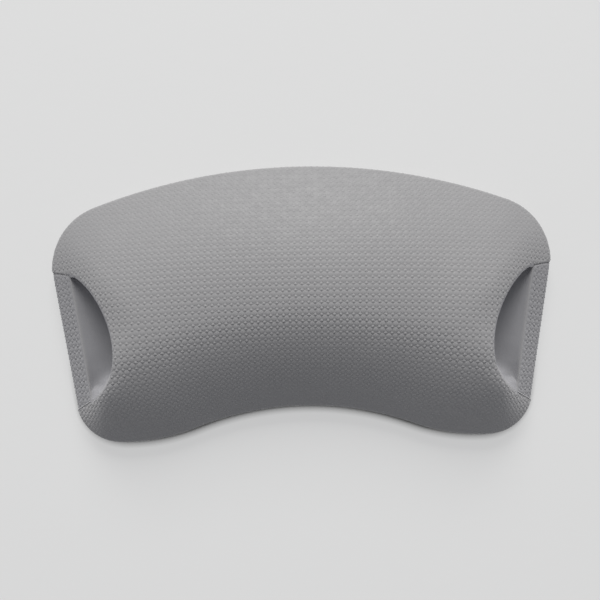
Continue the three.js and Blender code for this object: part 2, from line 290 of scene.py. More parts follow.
def crown_height(x, y, inset=0.0):
    """Height of the crown, with the crest's ends eased.

    Near a crest end it is the weighted mean of the plain height over a small disc: the place itself and
    two rings of six about it. The disc shrinks to nothing with the distance from the crest end.
    """
    height = plain_height(x, y, inset)
    away = np.hypot(np.abs(x) - CREST_END[0], y - CREST_END[1])
    near = away < EASE_RANGE[1]
    px, py = np.abs(x)[near], y[near]
    reach = EASE_RADIUS * (1 - smooth_step(away[near], *EASE_RANGE))
    total = EASE_MIDDLE * height[near]
    for ring, weight in EASE_RINGS:
        for turn in np.arange(6) * math.pi / 3 + ring:
            dx, dy = ring * reach * math.cos(turn), ring * reach * math.sin(turn)
            total += weight / 6 * plain_height(px + dx, py + dy, inset)
    height[near] = total
    return height


def nearest(points, places, block=20000):
    """Number of the nearest of some plan places to each point, found block by block to spare memory."""
    found = np.empty(len(points), dtype=int)
    for start in range(0, len(points), block):
        part = points[start : start + block]
        away = (part[:, None, 0] - places[None, :, 0]) ** 2 + (part[:, None, 1] - places[None, :, 1]) ** 2
        found[start : start + block] = away.argmin(axis=1)
    return found


def outline_foot(x, y):
    """Depth inside the outline, the nearest outline place and its outward direction, for plan places.

    The nearest of some hundred outline places names the arc, and the arc's centre and radius then give
    the exact distance: radius less the distance from the centre, or the reverse where it is hollow.
    """
    pick = np.arange(0, len(BENDS), 30)
    q = together(np.abs(x).ravel(), np.ravel(y))
    near = pick[nearest(q.astype(np.float32), PLACES[pick].astype(np.float32))]
    bend = BENDS[near]
    spoke = q - CENTRES[near]
    length = np.maximum(size(spoke), 1e-9)
    straight = bend == 0
    direction = np.where(straight[:, None], END_NORMAL, np.sign(bend)[:, None] * spoke / length[:, None])
    depth = np.where(bend > 0, bend - length, length + bend)
    depth = np.where(straight, ((PLACES[near] - q) * END_NORMAL).sum(axis=1), depth)
    foot = q + depth[:, None] * direction
    side = np.where(np.ravel(x) < 0, -1.0, 1.0)
    foot[:, 0] *= side
    direction[:, 0] *= side
    return depth, foot, direction


# Middle of the scoop's straight border: that of the end, drawn in by the strip and moved up a little.
END_LINE = [centre + radius * unit(-END_LEAN) for centre, radius, *_ in outline_arcs()[1:3]]
STRIP_MIDDLE = (END_LINE[0] + END_LINE[1]) / 2 - STRIP_WIDTH * END_NORMAL - SCOOP_SHIFT * END_DOWN


def to_end(x, y):
    """Distance along the straight end from the scoop's upper tip, and inward distance from the strip."""
    q = together(np.abs(x), y) - STRIP_MIDDLE
    return q @ END_DOWN + SCOOP_LENGTH / 2, -(q @ END_NORMAL)


def from_end(along, inward):
    """Plan place of a distance along the right end and an inward distance from the strip."""
    down = (np.asarray(along) - SCOOP_LENGTH / 2)[..., None] * END_DOWN
    return STRIP_MIDDLE + down - np.asarray(inward)[..., None] * END_NORMAL


def lip_table():
    """The scoop's lip, a cubic Bezier curve from tip to tip, as distances along and inward."""
    t = np.linspace(0, 1, 500)
    one = 3 * (1 - t) ** 2 * t
    two = 3 * (1 - t) * t**2
    along = one * LIP_START[0] + two * LIP_END[0] + t**3
    inward = one * LIP_START[1] + two * LIP_END[1]
    return along * SCOOP_LENGTH, inward * SCOOP_DEPTH


LIP = lip_table()


def scoop_foot(x, y):
    """Distance outside the scoop's opening, and the nearest place of its border, along and inward.

    The border is the strip's edge and the lip, both as close rows of places. The nearest place is moved
    along the row's way to the foot of the point's perpendicular, by half a step at most.
    """
    place = together(*to_end(np.ravel(x), np.ravel(y)))
    along, inward = place.T
    distance = np.full(along.shape, 99.0)
    foot = np.zeros(place.shape)
    close = np.flatnonzero((along > -8) & (along < SCOOP_LENGTH + 8) & (inward > -8) & (inward < 34))
    strip = np.linspace(0, SCOOP_LENGTH, 400)
    border = np.vstack([together(strip, strip * 0), together(*LIP)])
    way = np.vstack([together(np.gradient(strip), strip * 0), together(*map(np.gradient, LIP))])
    best = nearest(place[close], border)
    way = way[best]
    share = ((place[close] - border[best]) * way).sum(axis=1) / (way**2).sum(axis=1)
    foot[close] = border[best] + np.clip(share, -0.5, 0.5)[:, None] * way
    distance[close] = size(place[close] - foot[close])
    within = (along > 0) & (along < SCOOP_LENGTH) & (inward > 0) & (inward < np.interp(along, *LIP))
    return np.where(within, -distance, distance), foot[:, 0], foot[:, 1]


def on_run(along, run):
    """Smooth step over a stretch of the scoop's length, given by two shares of it."""
    return smooth_step(along, run[0] * SCOOP_LENGTH, run[1] * SCOOP_LENGTH)


def lip_roll(along):
    """Radius of the lip's edge: 0.4 mm at the upper tip, 2 mm towards the lower one."""
    return 0.4 + 1.6 * on_run(along, SOFT_LIP_RUN)


def drape():
    """The emboss lattice laid on the crown, one place per period.

    Rows and columns start evenly spaced. Each round measures the distances between neighbours over the
    surface, scales the plan steps to bring them to the pitch, and adds them up from the middle lines.
    The pitch widens by up to a tenth about 95 mm from the middle, and the middle row is an arc about a
    far centre below, from which the columns fan out.
    """
    s = np.arange(-COLUMNS, COLUMNS + 1)
    t = np.arange(-ROWS, ROWS + 1)
    x, y = np.meshgrid(s * PITCH_ACROSS * 0.95, t * PITCH_UP * 0.85)
    for _ in range(14):
        z = crown_height(x, y)
        step = np.stack([np.diff(v, axis=1) for v in (x, y, z)])
        middle = np.abs(x[:, 1:] + x[:, :-1]) / 2
        pitch = PITCH_ACROSS * (1 + 0.1 * np.exp(-(((middle - 95) / 45) ** 2)))
        pitch = pitch * (1 + y[:, 1:] / PATTERN_BEND)
        wide = step[0] * pitch / np.sqrt((step**2).sum(axis=0))
        step = np.stack([np.diff(v, axis=0) for v in (x, y, z)])
        pitch = PITCH_UP * (1 + 0.06 * smooth_step(np.abs(x[1:]), 10, 110))
        tall = step[1] * pitch / np.sqrt((step**2).sum(axis=0))
        x = np.pad(np.cumsum(wide, axis=1), ((0, 0), (1, 0)))
        x -= x[:, COLUMNS, None]
        y = np.pad(np.cumsum(tall, axis=0), ((1, 0), (0, 0)))
        y -= y[ROWS] + x[ROWS] ** 2 / (2 * PATTERN_BEND)
    return x, y


def resampled(grid, parts):
    """A grid with its steps divided into parts, in straight lines along both directions."""
    for _ in range(2):
        at = np.arange((len(grid) - 1) * parts + 1) / parts
        low = np.minimum(at.astype(int), len(grid) - 2)
        share = (at - low)[:, None]
        grid = (grid[low] * (1 - share) + grid[low + 1] * share).T
    return grid


# What is left of a cell for each pattern of corners inside the border. Corners 0 to 3 run round the cell,
# and 4 to 7 are the places where the border crosses its sides.
CUTS = {
    1: [[0, 4, 7]], 2: [[4, 1, 5]], 3: [[0, 1, 5, 7]], 4: [[5, 2, 6]], 5: [[0, 4, 7], [5, 2, 6]],
    6: [[4, 1, 2, 6]], 7: [[0, 1, 2, 6, 7]], 8: [[7, 6, 3]], 9: [[0, 4, 6, 3]], 10: [[4, 1, 5], [7, 6, 3]],
    11: [[0, 1, 5, 6, 3]], 12: [[7, 5, 2, 3]], 13: [[0, 4, 5, 2, 3]], 14: [[4, 1, 2, 3, 7]],
}


def trimmed(columns, field, parts):
    """Triangles of a grid where a field is above zero, cut along the field's zero line.

    columns holds the grid's values. A side of a cell whose ends differ in sign gets a new place where
    the straight line between its two field values is zero. A corner within a fifth of the side from it
    is moved there instead, against slivers. Whole cells are split along the diagonal that follows the
    emboss's diamonds, and the cut ones are fans from a first corner.
    """
    rows, wide = field.shape
    level = np.where(np.abs(field) < 0.001, 0.001, field).ravel()
    inside = level > 0
    ids = np.arange(rows * wide).reshape(rows, wide)
    flat = [v.ravel() for v in columns]
    moved = [v.copy() for v in flat]

    def crossings(a, b, first):
        cut = inside[a] != inside[b]
        start, stop = a[cut], b[cut]
        share = level[start] / (level[start] - level[stop])
        found = [v[start] * (1 - share) + v[stop] * share for v in flat]
        at_start, at_stop = share < 0.2, share > 0.8
        for v, place in zip(moved, found):
            v[start[at_start]] = place[at_start]
            v[stop[at_stop]] = place[at_stop]
        made = np.full(a.shape, -1)
        made[cut] = np.where(at_start, start, np.where(at_stop, stop, first + np.arange(len(share))))
        return made, found

    flat_sides, flat_values = crossings(ids[:, :-1], ids[:, 1:], rows * wide)
    upright, upright_values = crossings(ids[:-1], ids[1:], rows * wide + len(flat_values[0]))
    values = [np.concatenate(v) for v in zip(moved, flat_values, upright_values)]

    corners = [ids[:-1, :-1], ids[:-1, 1:], ids[1:, 1:], ids[1:, :-1]]
    sides = [flat_sides[:-1], upright[:, 1:], flat_sides[1:], upright[:, :-1]]
    places = together(*(v.ravel() for v in corners + sides))
    code = sum(inside[c].ravel().astype(int) << k for k, c in enumerate(corners))
    under, left = (np.arange(n - 1) % parts < parts / 2 for n in (rows, wide))
    same = (under[:, None] == left).ravel()
    triangles = []
    for mask, pair in ((same, ([0, 1, 3], [1, 2, 3])), (~same, ([0, 1, 2], [0, 2, 3]))):
        triangles += [places[(code == 15) & mask][:, corner] for corner in pair]
    for number, shapes in CUTS.items():
        chosen = places[code == number]
        for first, *rest in shapes:
            triangles += [chosen[:, [first, *pair]] for pair in zip(rest, rest[1:])]
    triangles = np.vstack(triangles)
    a, b, c = triangles.T
    triangles = triangles[(a != b) & (b != c) & (c != a)]
    used, compact = np.unique(triangles, return_inverse=True)
    return [v[used] for v in values], compact.reshape(-1, 3)


def border_edges(triangles):
    """Edges that belong to one triangle, in its direction."""
    edges = np.vstack([triangles[:, [0, 1]], triangles[:, [1, 2]], triangles[:, [2, 0]]])
    code = edges.min(axis=1) * 10_000_000 + edges.max(axis=1)
    _, first, count = np.unique(code, return_index=True, return_counts=True)
    return edges[first[count == 1]]


def zipped(a, a_keys, b, b_keys):
    """Triangles between two rows of vertices that run side by side, both with rising keys.

    Every step along a row makes a triangle with the vertex that the other row has reached by then.
    """
    j = np.searchsorted(b_keys[1:], a_keys[1:], side="left")
    i = np.searchsorted(a_keys[1:], b_keys[1:], side="right")
    return np.vstack([together(a[:-1], a[1:], b[j]), together(b[1:], b[:-1], a[i])])


def strips(edges, rows):
    """Triangles between rows of vertices that hang from border edges. rows[k] maps a border vertex."""
    a, b = edges[:, 0], edges[:, 1]
    triangles = []
    for upper, lower in zip(rows[:-1], rows[1:]):
        triangles += [together(upper[a], lower[a], upper[b]), together(upper[b], lower[a], lower[b])]
    return np.vstack(triangles)


def quadratic(start, control, stop, share):
    """Quadratic Bezier curve, with shares of its way as a new first axis."""
    t = np.asarray(share)[:, None, None]
    return start * (1 - t) ** 2 + 2 * control * t * (1 - t) + stop * t * t


def with_height(plan, height):
    """Plan places with a height as their third value."""
    return np.concatenate([plan, np.broadcast_to(height, plan.shape[:-1])[..., None]], axis=-1)


def wall_rows(top, foot, facing, inset):
    """Places down the edge of the cushion, row by row.

    A quadratic curve turns from the crown's border over the rim's corner into the wall, the wall runs
    straight down, and on the outer face a second such curve turns under to the foot.
    """
    edge = foot - inset * facing
    rim = RIM_HEIGHT - inset
    rolled = with_height(edge, rim - EDGE_ROLL)
    low = with_height(edge, SKIN_LIFT + 0.9)
    ground = with_height(edge, SKIN_LIFT)
    steps = 3 if inset else 6
    over = quadratic(top, with_height(edge, rim), rolled, np.linspace(0, 1, steps + 1)[1:])
    down = quadratic(rolled, (rolled + low) / 2, low, np.linspace(0, 1, 2 * steps + 2)[1:])
    if inset:
        return np.concatenate([over, down, ground[None]])
    under = with_height(edge - 0.8 * facing, SKIN_LIFT)
    return np.concatenate([over, down, quadratic(low, ground, under, np.linspace(0, 1, 5)[1:])])


def scoop_rows(top, along, inward, lip_side, inset):
    """Places from the opening's border down into the scoop, to the middle of its section, row by row.

    A section is the cubic Bezier curve from the strip's edge over the dipped floor and the undercut to
    the lip, pushed outwards by the inset, and a quadratic curve softens its edge. Towards the lower end
    the undercut closes, and the floor is the soft maximum (a + b + sqrt((a - b)^2 + c)) / 2 of the curve
    and a wedge that falls from the lower lip. Elsewhere the wedge sinks out of the way.
    """
    ends = smooth_step(TIP - along, 0, TIP - 1.5)
    ends -= smooth_step(along, SCOOP_LENGTH - TIP, SCOOP_LENGTH - 1.5)
    along = np.clip(along, 0.02 * SCOOP_LENGTH, 0.98 * SCOOP_LENGTH)
    chord = np.maximum(np.where(lip_side, inward, np.interp(along, *LIP)), 0.8)
    full = (chord / SCOOP_DEPTH) ** 0.4
    open_wall = on_run(along, OPEN_RUN)
    wall_foot = chord + full * (SCOOP_UNDERCUT * (1 - open_wall) - LOW_WALL_LEAN * open_wall)
    dip = SCOOP_DIP * full
    floor_foot = (FLOOR_SHARE - FLOOR_DRAW * on_run(along, FLOOR_RUN)) * chord
    strip = from_end(along, along * 0)
    lip = from_end(along, chord)
    low = crown_height(*strip.T) - STRIP_STEP
    high = crown_height(*lip.T)
    corners = ((chord * 0, low), (floor_foot, low - dip), (wall_foot, low - 0.5 * dip), (chord, high))
    a, b, c, d = (together(*corner) for corner in corners)

    lower = np.arange(LIP[1].argmax(), len(LIP[0]))[::-1]
    lip_along, lip_inward = LIP[0][lower], LIP[1][lower]
    lip_height = crown_height(*from_end(lip_along, lip_inward).T)

    def level(t):
        t = t[..., None]
        place = a * (1 - t) ** 3 + 3 * b * t * (1 - t) ** 2 + 3 * c * t * t * (1 - t) + d * t**3
        reach = place[..., 0]
        rest = np.maximum(np.interp(reach, lip_inward, lip_along) - along, 0)
        fall = WEDGE_FALL[0] + WEDGE_FALL[1] * np.maximum(reach, 0)
        wedge = np.interp(reach, lip_inward, lip_height) - fall * rest
        wedge = wedge - WEDGE_SINK * (1 - on_run(along, WEDGE_RUN))
        deep = smooth_step(reach / chord, 0.35, 0.8)
        wedge = wedge - UNDERCUT_SINK * deep * (1 - on_run(along, UNDERCUT_RUN))
        wedge = wedge - PAST_LIP_FALL * np.maximum(reach - chord, 0)
        gap = place[..., 1] - wedge
        blend = WEDGE_BLEND[0] + WEDGE_BLEND[1] * smooth_step(rest, 0, 9)
        place[..., 1] = (place[..., 1] + wedge + np.sqrt(gap * gap + blend)) / 2
        return place

    def section(t):
        place = level(t)
        slope = level(t + 0.001) - level(t - 0.001)
        slope /= np.maximum(size(slope), 1e-9)[..., None]
        return place + inset * together(slope[..., 1], -slope[..., 0])

    reach = np.where(lip_side, lip_roll(along), 2.2)
    speed = 3 * np.where(lip_side, size(d - c), size(b - a))
    edge = np.minimum(0.25, reach / np.maximum(speed, 1))
    way = np.linspace(0, 1, 10 if inset else 30)[:, None]
    way = way * way * (3 - 2 * way) * 0.3 + way * 0.7
    t = edge + (0.47 - edge) * way
    t = np.where(lip_side, 1 - t, t)
    flat = section(t)
    if inset:
        back = chord + 0.8 * inset * (1 - open_wall)
        flat[..., 0] = np.where(lip_side, np.maximum(flat[..., 0], back), flat[..., 0])
    side = np.where(top[:, 0] < 0, -1, 1)
    plan = from_end(np.broadcast_to(along - inset * ends, flat.shape[:-1]), flat[..., 0])
    plan[..., 0] *= side
    made = with_height(plan, flat[..., 1])
    if inset:
        made[..., 2] = np.minimum(made[..., 2], crown_height(plan[..., 0], plan[..., 1], inset))
        corner = (top + made[0]) / 2
    else:
        corner_plan = np.where(lip_side[:, None], lip, strip)
        corner_plan[:, 0] *= side
        corner = with_height(corner_plan, np.where(lip_side, high, low + STRIP_STEP))
    soft = quadratic(top, corner, made[0], np.linspace(0, 1, 2 if inset else 5)[1:-1])
    return np.concatenate([soft, made])


def emboss(s, t):
    """Height of the emboss over pattern coordinates in periods.

    Round pads stand at the half periods: rise * (1 - r^2 / reach^2), less a groove round each that falls
    off with the distance from the pad's border. Where u / DIAMOND_ACROSS + v / DIAMOND_UP is under one,
    for the distances u and v from the nearest whole period, a four-sided diamond stands there instead.
    """
    u = np.abs(s - np.round(s))
    v = np.abs(t - np.round(t))
    r = np.hypot(0.5 - u, 0.5 - v)
    reach = u / DIAMOND_ACROSS + v / DIAMOND_UP
    border = np.minimum(np.minimum(u, v), 0.24 * (reach - 1))
    groove = GROOVE_DEPTH * np.exp(-((border / GROOVE_WIDTH) ** 2))
    pad = PAD_RISE * (1 - (r / PAD_REACH) ** 2) - groove
    diamond = DIAMOND_RISE * (1 - reach) - GROOVE_DEPTH
    return np.where(reach < 1, np.maximum(diamond, -GROOVE_DEPTH), pad)


def vertex_normals(points, triangles):
    """Sum of the area vectors of the triangles at each vertex, to unit length."""
    a, b, c = points[triangles.T]
    area = np.cross(b - a, c - a)
    total = np.zeros(points.shape)
    for axis in range(3):
        for k in range(3):
            total[:, axis] += np.bincount(triangles[:, k], area[:, axis], len(points))
    return total / np.maximum(np.linalg.norm(total, axis=1), 1e-12)[:, None]


LATTICE = drape()


def cushion_face(parts, inset):
    """The crowned face with its edge and scoops: points, triangles, pattern coordinates and masks.

    The draped lattice is trimmed at the outline and the openings, and rows hang from its borders: down
    the wall, and into each scoop, whose two sides are zipped together in the middle.
    """
    x, y = (resampled(v, parts) for v in LATTICE)
    rows, wide = x.shape
    t, s = np.meshgrid(np.arange(rows) / parts - ROWS, np.arange(wide) / parts - COLUMNS, indexing="ij")
    depth = outline_foot(x, y)[0].reshape(x.shape)
    away, near_along, near_inward = scoop_foot(x, y)
    soft = 1 + (lip_roll(near_along) - 1) * smooth_step(near_inward, 0, 2)
    opened = (away - soft * (0.4 if inset else 0.5) - inset).reshape(x.shape)
    field = np.minimum(depth - inset - EDGE_ROLL, opened)
    (px, py, ps, pt), triangles = trimmed([x, y, s, t], field, parts)
    points = together(px, py, crown_height(px, py, inset))
    along, inward = to_end(px, py)
    columns = {"points": [points], "s": [ps], "t": [pt], "along": [along], "inward": [inward]}
    columns["smooth"] = [np.zeros(len(points))]
    faces = [triangles]

    edges = border_edges(triangles)
    ends = np.unique(edges)
    depth, foot, facing = outline_foot(px[ends], py[ends])
    away, near_along, near_inward = scoop_foot(px[ends], py[ends])
    at_wall = depth - inset - EDGE_ROLL < away - inset

    def add_rows(made, chosen, in_scoop):
        """Keep rows that hang from the chosen border places, and give each row's map of the border."""
        border = ends[chosen]
        maps = [np.arange(len(points))]
        length = np.diff(np.concatenate([points[border][None], made]), axis=0)
        length = np.cumsum(np.linalg.norm(length, axis=2), axis=0)
        out = facing[chosen] * (1 - in_scoop)
        for row, way in zip(made, length):
            ids = np.full(len(points), -1)
            ids[border] = sum(map(len, columns["points"])) + np.arange(len(row))
            maps.append(ids)
            columns["points"].append(row)
            columns["s"].append(ps[border] + out[:, 0] * way / PITCH_ACROSS)
            columns["t"].append(pt[border] + out[:, 1] * way / PITCH_UP)
            columns["smooth"].append(in_scoop * (0.1 + 0.9 * smooth_step(way, 0.4, 2.4)))
            columns["along"].append(along[border])
            columns["inward"].append(inward[border] - way * (1 - in_scoop))
        return maps

    wall = np.flatnonzero(at_wall)
    maps = add_rows(wall_rows(points[ends[wall]], foot[wall], facing[wall], inset), wall, 0)
    faces.append(strips(edges[np.isin(edges, ends[wall]).all(axis=1)], maps))
    angle = np.arctan2(foot[wall, 0], foot[wall, 1])
    order = np.argsort(angle)
    rim = maps[-1][ends[wall]][order]

    for side in (-1, 1):
        ring = np.flatnonzero(~at_wall & (px[ends] * side > 0))
        lip_side = near_inward[ring] > 0
        made = scoop_rows(points[ends[ring]], near_along[ring], near_inward[ring], lip_side, inset)
        maps = add_rows(made, ring, 1)
        faces.append(strips(edges[np.isin(edges[:, 0], ends[ring])], maps))
        keys = along[ends[ring]]
        loop = np.argsort(np.arctan2(inward[ends[ring]] - 0.4 * SCOOP_DEPTH, keys - 0.5 * SCOOP_LENGTH))
        first = np.flatnonzero(lip_side[loop] & ~np.roll(lip_side[loop], 1))[0]
        loop = np.roll(loop, -first)
        count = int(lip_side.sum())
        lips, floor = loop[:count][::-1], loop[count:]
        last = maps[-1][ends[ring]]
        lip_keys, floor_keys = (np.maximum.accumulate(keys[row]) for row in (lips, floor))
        closed = zipped(last[lips], lip_keys, last[floor], floor_keys)
        faces.append(closed if side > 0 else closed[:, ::-1])

    face = {key: np.concatenate(column) for key, column in columns.items()}
    return face | {"triangles": np.vstack(faces), "rim": rim, "rim_keys": angle[order]}


def placed(name, data):
    """A new object of the scene with the given data."""
    made = bpy.data.objects.new(name, data)
    bpy.context.collection.objects.link(made)
    return made


def new_mesh(name, points, triangles, values=None):
    """A smooth-shaded mesh object from points in millimetres and triangles, with vertex attributes."""
    mesh = bpy.data.meshes.new(name)
    mesh.from_pydata(points * MM, [], triangles, shade_flat=False)
    for key, value in (values or {}).items():
        attribute = mesh.attributes.new(key, "FLOAT", "POINT")
        attribute.data.foreach_set("value", value.astype(np.float32))
    mesh.validate()
    return placed(name, mesh)


def strip_part(along, inward):
    """Distances inside the strip's own part of the mould, and from its upper and its lower parting line.

    The upper line runs from the scoop's upper tip to the outline, leaning away along the end, and the
    lower one does the same from the lower tip.
    """
    upper = along - UPPER_PARTING * inward
    lower = SCOOP_LENGTH - LOWER_PARTING * inward - along
    return np.where(inward < 0.8, np.minimum(upper, lower), -FAR), upper, lower


INNER_FACE = cushion_face(2, SKIN)


def make_front_skin():
    """The embossed face and the plain inner face, closed along the foot.

    Points move along their normals by the emboss, which is shallower high on the upper slope and on the
    lower one. Between its parting lines the strip has an emboss laid out along the end, and stands back
    a little, more so on its wall. A hair of flash follows the lower line and a fine groove the upper one.
    """
    outer = cushion_face(CELLS, 0.0)
    inner = INNER_FACE
    points = outer["points"]
    x, y, z = points.T
    along, inward = outer["along"], outer["inward"]
    on_crown = outer["smooth"] == 0
    within, upper, lower = strip_part(along, inward)
    strip = smooth_step(within, -0.2, 0.2)
    crown_mask = np.where(on_crown, smooth_step(scoop_foot(x, y)[0], 0.4, 1.5), 0) * smooth_step(z, 0.8, 2.4)
    fine = emboss(inward / STRIP_PITCH_ACROSS, along / STRIP_PITCH_ALONG)
    seam = np.where(inward < 0.5, np.minimum(np.abs(upper), np.abs(lower)), FAR)
    relief = (emboss(outer["s"], outer["t"]) * (1 - strip) + fine * strip) * crown_mask
    relief = relief * smooth_step(seam, 0.3, 1.1)
    normals = vertex_normals(points, outer["triangles"])
    relief = relief * (FACE_SHARE - UPPER_FADE * smooth_step(y, 2, 48))
    relief = relief * (1 - LOWER_FADE * smooth_step(-normals[:, 1], 0.15, 0.42))
    step_back = strip * np.where(on_crown, STRIP_BACK + STRIP_WALL_BACK * smooth_step(-inward, 9, 13), 0)
    near_line = (inward < 0.3) & on_crown
    flash = FLASH_RISE * np.exp(-((lower / FLASH_WIDTH) ** 2))
    flash = np.where(near_line, flash - LINE_DEPTH * np.exp(-((upper / LINE_WIDTH) ** 2)), 0)
    points = points + normals * (relief - step_back + flash)[:, None]

    base = len(points)
    rims = []
    for face, first in ((outer, 0), (inner, base)):
        rims.append(np.append(face["rim"], face["rim"][0]) + first)
        rims.append(np.append(face["rim_keys"], face["rim_keys"][0] + 2 * math.pi))
    triangles = np.vstack([outer["triangles"], inner["triangles"][:, ::-1] + base, zipped(*rims)])
    values = {
        "smooth": (np.where(on_crown, np.maximum(1 - crown_mask, 0.6 * strip), outer["smooth"]), 1),
        "raised": (np.clip((relief + GROOVE_DEPTH) / (DIAMOND_RISE + GROOVE_DEPTH), 0, 1), 0),
        "upper_line": (np.where(near_line, upper, FAR), FAR),
        "lower_line": (np.where(near_line, lower, FAR), FAR),
    }
    plain = np.ones(len(inner["points"]))
    values = {key: np.concatenate([value, plain * rest]) for key, (value, rest) in values.items()}
    return new_mesh("moulded_front_skin", np.vstack([points, inner["points"]]), triangles, values)


def make_back_skin():
    """The flat back, cut from a plain grid at its outline and at both socket holes.

    The same places make its two faces, and rows with quadratic corners join them round each border.
    """
    inset = SKIN + SEAM_GAP
    x, y = np.meshgrid(np.arange(-100, 101) * 1.5, np.arange(-60, 61) * 1.5)
    depth = outline_foot(x, y)[0].reshape(x.shape) - inset
    hole = np.hypot(np.abs(x) - SOCKET_X, y - SOCKET_Y) - SOCKET_HOLE
    (px, py), triangles = trimmed([x, y], np.minimum(depth - BACK_ROLL, hole - HOLE_ROLL), 1)
    count = len(px)
    edges = border_edges(triangles)
    ends = np.unique(edges)
    plan = together(px[ends], py[ends])
    depth, foot, facing = outline_foot(px[ends], py[ends])
    centre = together(np.sign(plan[:, 0]) * SOCKET_X, plan[:, 0] * 0 + SOCKET_Y)
    spoke = plan - centre
    spoke /= size(spoke)[:, None]
    outer = depth < inset + BACK_ROLL + 0.2
    edge = np.where(outer[:, None], foot - inset * facing, centre + spoke * SOCKET_HOLE)
    roll = np.where(outer, BACK_ROLL, HOLE_ROLL)
    high = with_height(edge, BACK - roll)
    share = np.linspace(0, 1, 5)[1:]
    up = quadratic(with_height(plan, 0), with_height(edge, 0), with_height(edge, roll), share)
    over = quadratic(high, with_height(edge, BACK), with_height(plan, BACK), share)[:-1]
    made = np.concatenate([up, high[None], over])
    rows = [np.arange(count)]
    for k in range(len(made)):
        ids = np.full(count, -1)
        ids[ends] = 2 * count + k * len(ends) + np.arange(len(ends))
        rows.append(ids)
    rows.append(np.arange(count) + count)
    under = with_height(together(px, py), 0)
    points = np.vstack([under, under + [0, 0, BACK], made.reshape(-1, 3)])
    faces = np.vstack([triangles[:, ::-1], triangles + count, strips(edges, rows)[:, ::-1]])
    return new_mesh("moulded_back_skin", points, faces)


def make_socket(name, x):
    """A turned cup: its profile, with every corner rounded by a quadratic curve, carried round an axis."""
    bore, cup, bead, flange = 4.5, 6.3, 0.7, 3
    floor, top = 13.5, 15.1
    groove = [[bore, 10], [bore + bead, 10], [bore + bead, 8.4], [bore, 8.4]]
    mouth = [[bore, 1.5], [bore + 1, 0.5], [cup, 0.5]]
    rim = [[cup, 11.6], [cup + flange, 11.6], [cup + flange, 13.2], [cup, 13.2]]
    corners = np.array([[0, floor], [bore, floor], *groove, *mouth, *rim, [cup, top], [0, top]])
    middle = corners[1:-1]
    sides = [corners[:-2] - middle, corners[2:] - middle]
    lengths = [size(side)[:, None] for side in sides]
    cut = np.minimum(0.28, 0.4 * np.minimum(*lengths))
    first, last = (middle + side / length * cut for side, length in zip(sides, lengths))
    rounded = quadratic(first, middle, last, np.linspace(0, 1, 5)).transpose(1, 0, 2).reshape(-1, 2)
    profile = np.vstack([[[1e-3, floor]], rounded, [[1e-3, top]]])
    count = 96
    plan = profile[:, None, :1] * unit(np.arange(count) * 2 * math.pi / count) + [x, SOCKET_Y]
    points = with_height(plan, profile[:, 1:2]).reshape(-1, 3)
    k = np.arange(len(profile) - 1)[:, None] * count
    i = np.arange(count)
    j = (i + 1) % count
    a, b, c, d = (v.ravel() for v in (k + i, k + j, k + count + j, k + count + i))
    faces = np.vstack([together(a, b, c), together(a, c, d)])
    ends = len(profile) * count
    tips = np.array([[x, SOCKET_Y, floor], [x, SOCKET_Y, top]])
    first_cap = together(j, i, np.full(count, ends))
    last_cap = together(ends - count + i, ends - count + j, np.full(count, ends + 1))
    return new_mesh(name, np.vstack([points, tips]), np.vstack([faces, first_cap, last_cap]))


def cell_noise(points, cell, seed):
    """Values from -1 to 1: random numbers on a cubic lattice, blended between its places."""
    spread = np.random.default_rng(seed).uniform(-1, 1, 65536)
    at = points / cell
    base = np.floor(at).astype(np.int64)
    share = at - base
    share = share * share * (3 - 2 * share)
    total = np.zeros(len(points))
    for corner in range(8):
        offset = np.array([corner & 1, corner >> 1 & 1, corner >> 2 & 1])
        i = base + offset
        code = (i[:, 0] * 73856093 ^ i[:, 1] * 19349663 ^ i[:, 2] * 83492791) & 65535
        weight = np.prod(np.where(offset, share, 1 - share), axis=1)
        total += spread[code] * weight
    return total


def make_core():
    """The foam block: the CAD core remeshed, smoothed and kept inside the skin, with an open-cell surface.

    Each vertex moves along its normal by a fixed draw-in and two sizes of lattice noise.
    """
    piece = placed("foam_block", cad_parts["foam_core"].data.copy())
    limit = new_mesh("limit", INNER_FACE["points"], INNER_FACE["triangles"])
    inside = {"target": limit, "wrap_method": "NEAREST_SURFACEPOINT", "wrap_mode": "INSIDE"}
    for kind, settings in (
        ("WELD", {"merge_threshold": 1e-6}),
        ("REMESH", {"mode": "VOXEL", "voxel_size": FOAM_GRID * MM}),
        ("SMOOTH", {"factor": 0.5, "iterations": 3}),
        ("SHRINKWRAP", inside | {"offset": 0.1 * MM}),
    ):
        modifier = piece.modifiers.new(kind.lower(), kind)
        for key, value in settings.items():
            setattr(modifier, key, value)
    shaped = bpy.data.meshes.new_from_object(piece.evaluated_get(bpy.context.evaluated_depsgraph_get()))
    bpy.data.objects.remove(piece)
    bpy.data.objects.remove(limit)
    points = np.array([vertex.co[:] for vertex in shaped.vertices]) / MM
    shaped.calc_loop_triangles()
    triangles = np.array([face.vertices[:] for face in shaped.loop_triangles])
    normals = vertex_normals(points, triangles)
    shift = -FOAM_DRAW_IN + sum(rise * cell_noise(points, cell, seed) for cell, seed, rise in FOAM_CELLS)
    return new_mesh("foam_block", points + normals * shift[:, None], triangles)


front = make_front_skin()
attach(front, "root")
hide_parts("front_skin")

back = make_back_skin()
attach(back, "root")
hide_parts("back_skin")

core = make_core()
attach(core, "root")
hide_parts("foam_core")

sockets = []
for side_name, side in (("left", -1), ("right", 1)):
    socket = make_socket(f"snap_socket_{side_name}", side * SOCKET_X)
    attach(socket, "root")
    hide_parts(f"pin_socket_{side_name}")
    sockets.append(socket)


